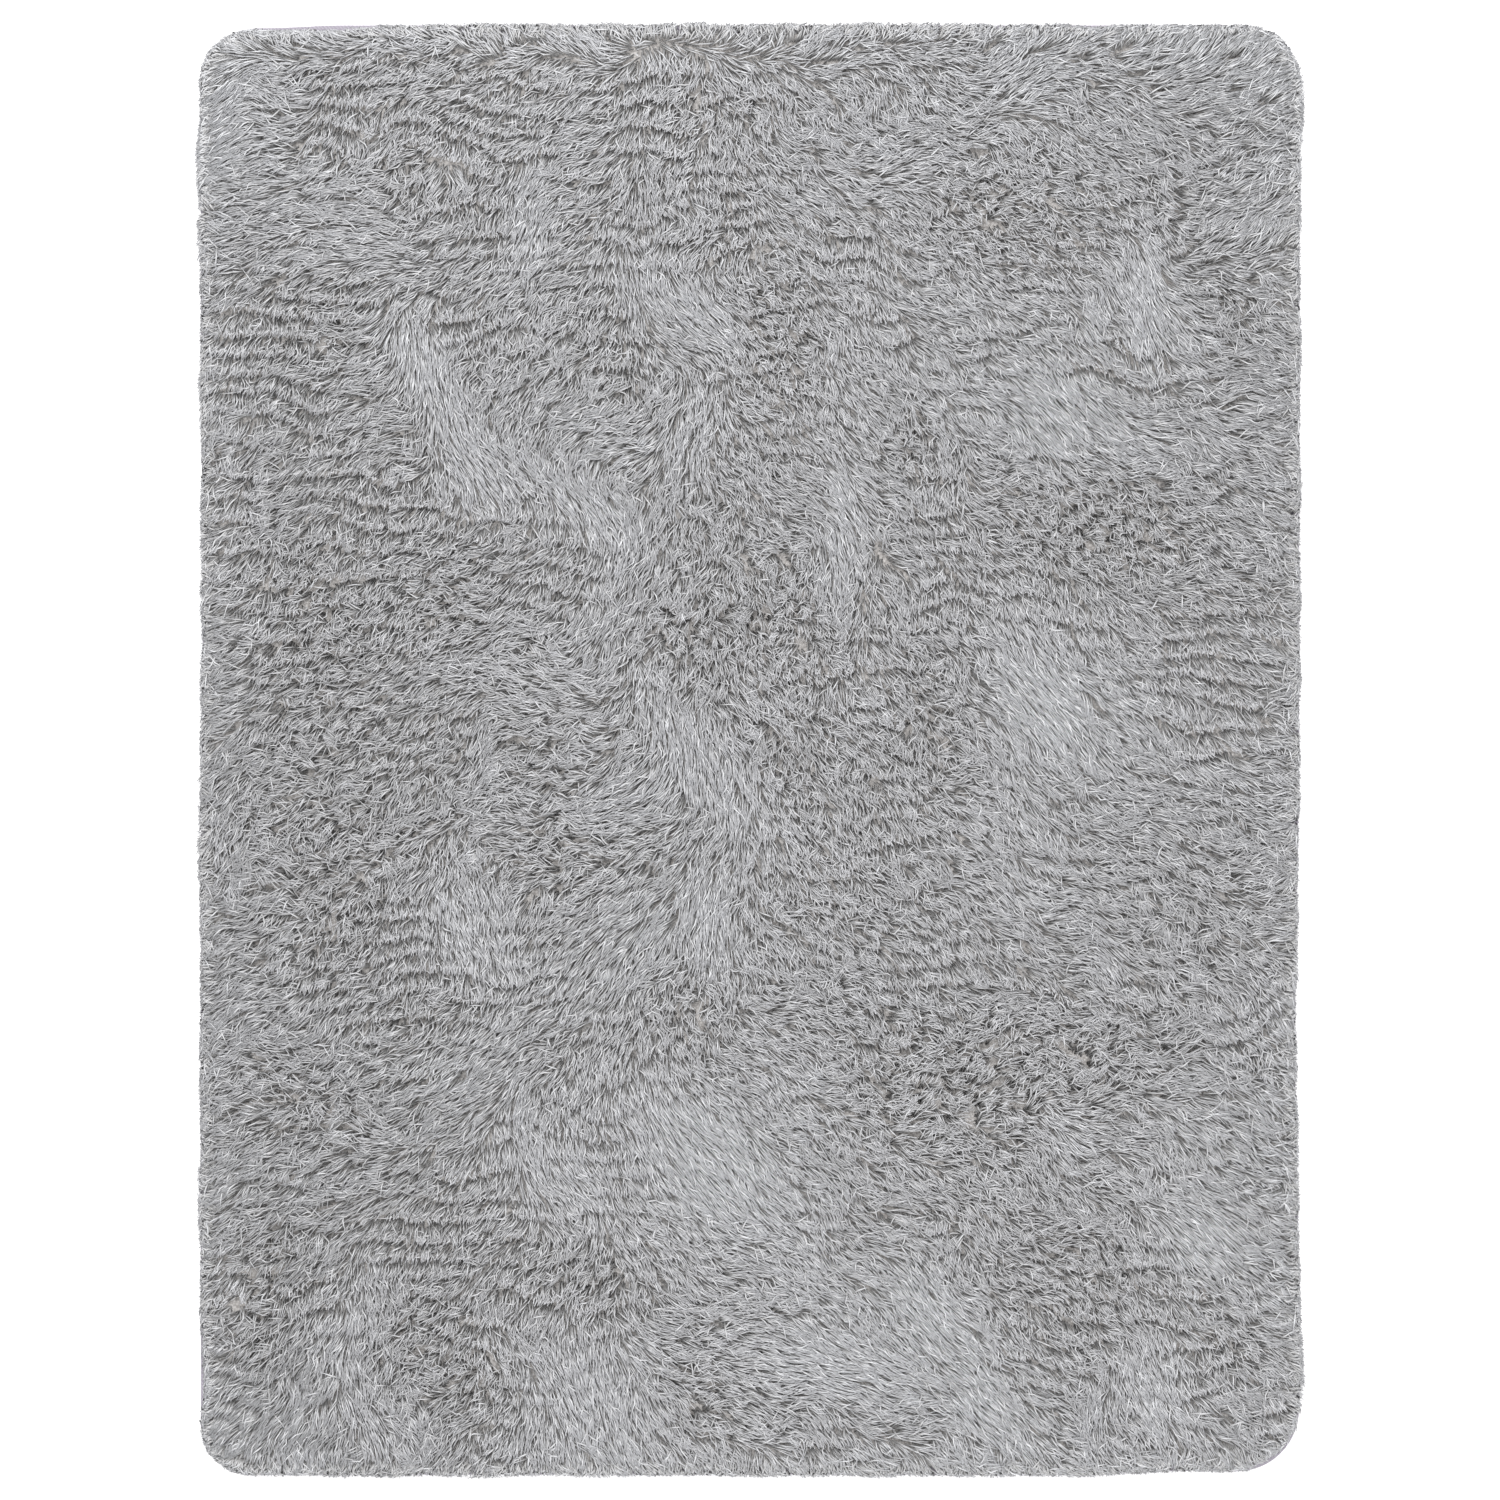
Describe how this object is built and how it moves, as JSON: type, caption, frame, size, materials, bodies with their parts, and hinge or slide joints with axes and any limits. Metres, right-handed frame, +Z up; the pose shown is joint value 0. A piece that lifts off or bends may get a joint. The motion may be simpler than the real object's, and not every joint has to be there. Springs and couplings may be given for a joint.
{
  "type": "shag rug",
  "caption": "Rectangular shag rug with rounded corners: deep lumpy yarn pile on a plain base cloth, its edge bound with a narrow tape.",
  "frame": {"origin": "middle of the underside, on the floor", "axes": "+X across the rug, +Y along its length, +Z up out of the pile"},
  "size_m": [1.2431, 1.6262, 0.039],
  "materials": {
    "pile_yarn": "soft grey polyester yarn, slightly glossy where it is combed flat",
    "base_cloth": "plain grey woven cloth, matt",
    "edge_tape": "mauve-grey twill tape, matt"
  },
  "bodies": {
    "root": {"pile": "pile_yarn", "base_cloth": "base_cloth", "edge_tape": "edge_tape"}
  },
  "joints": []
}
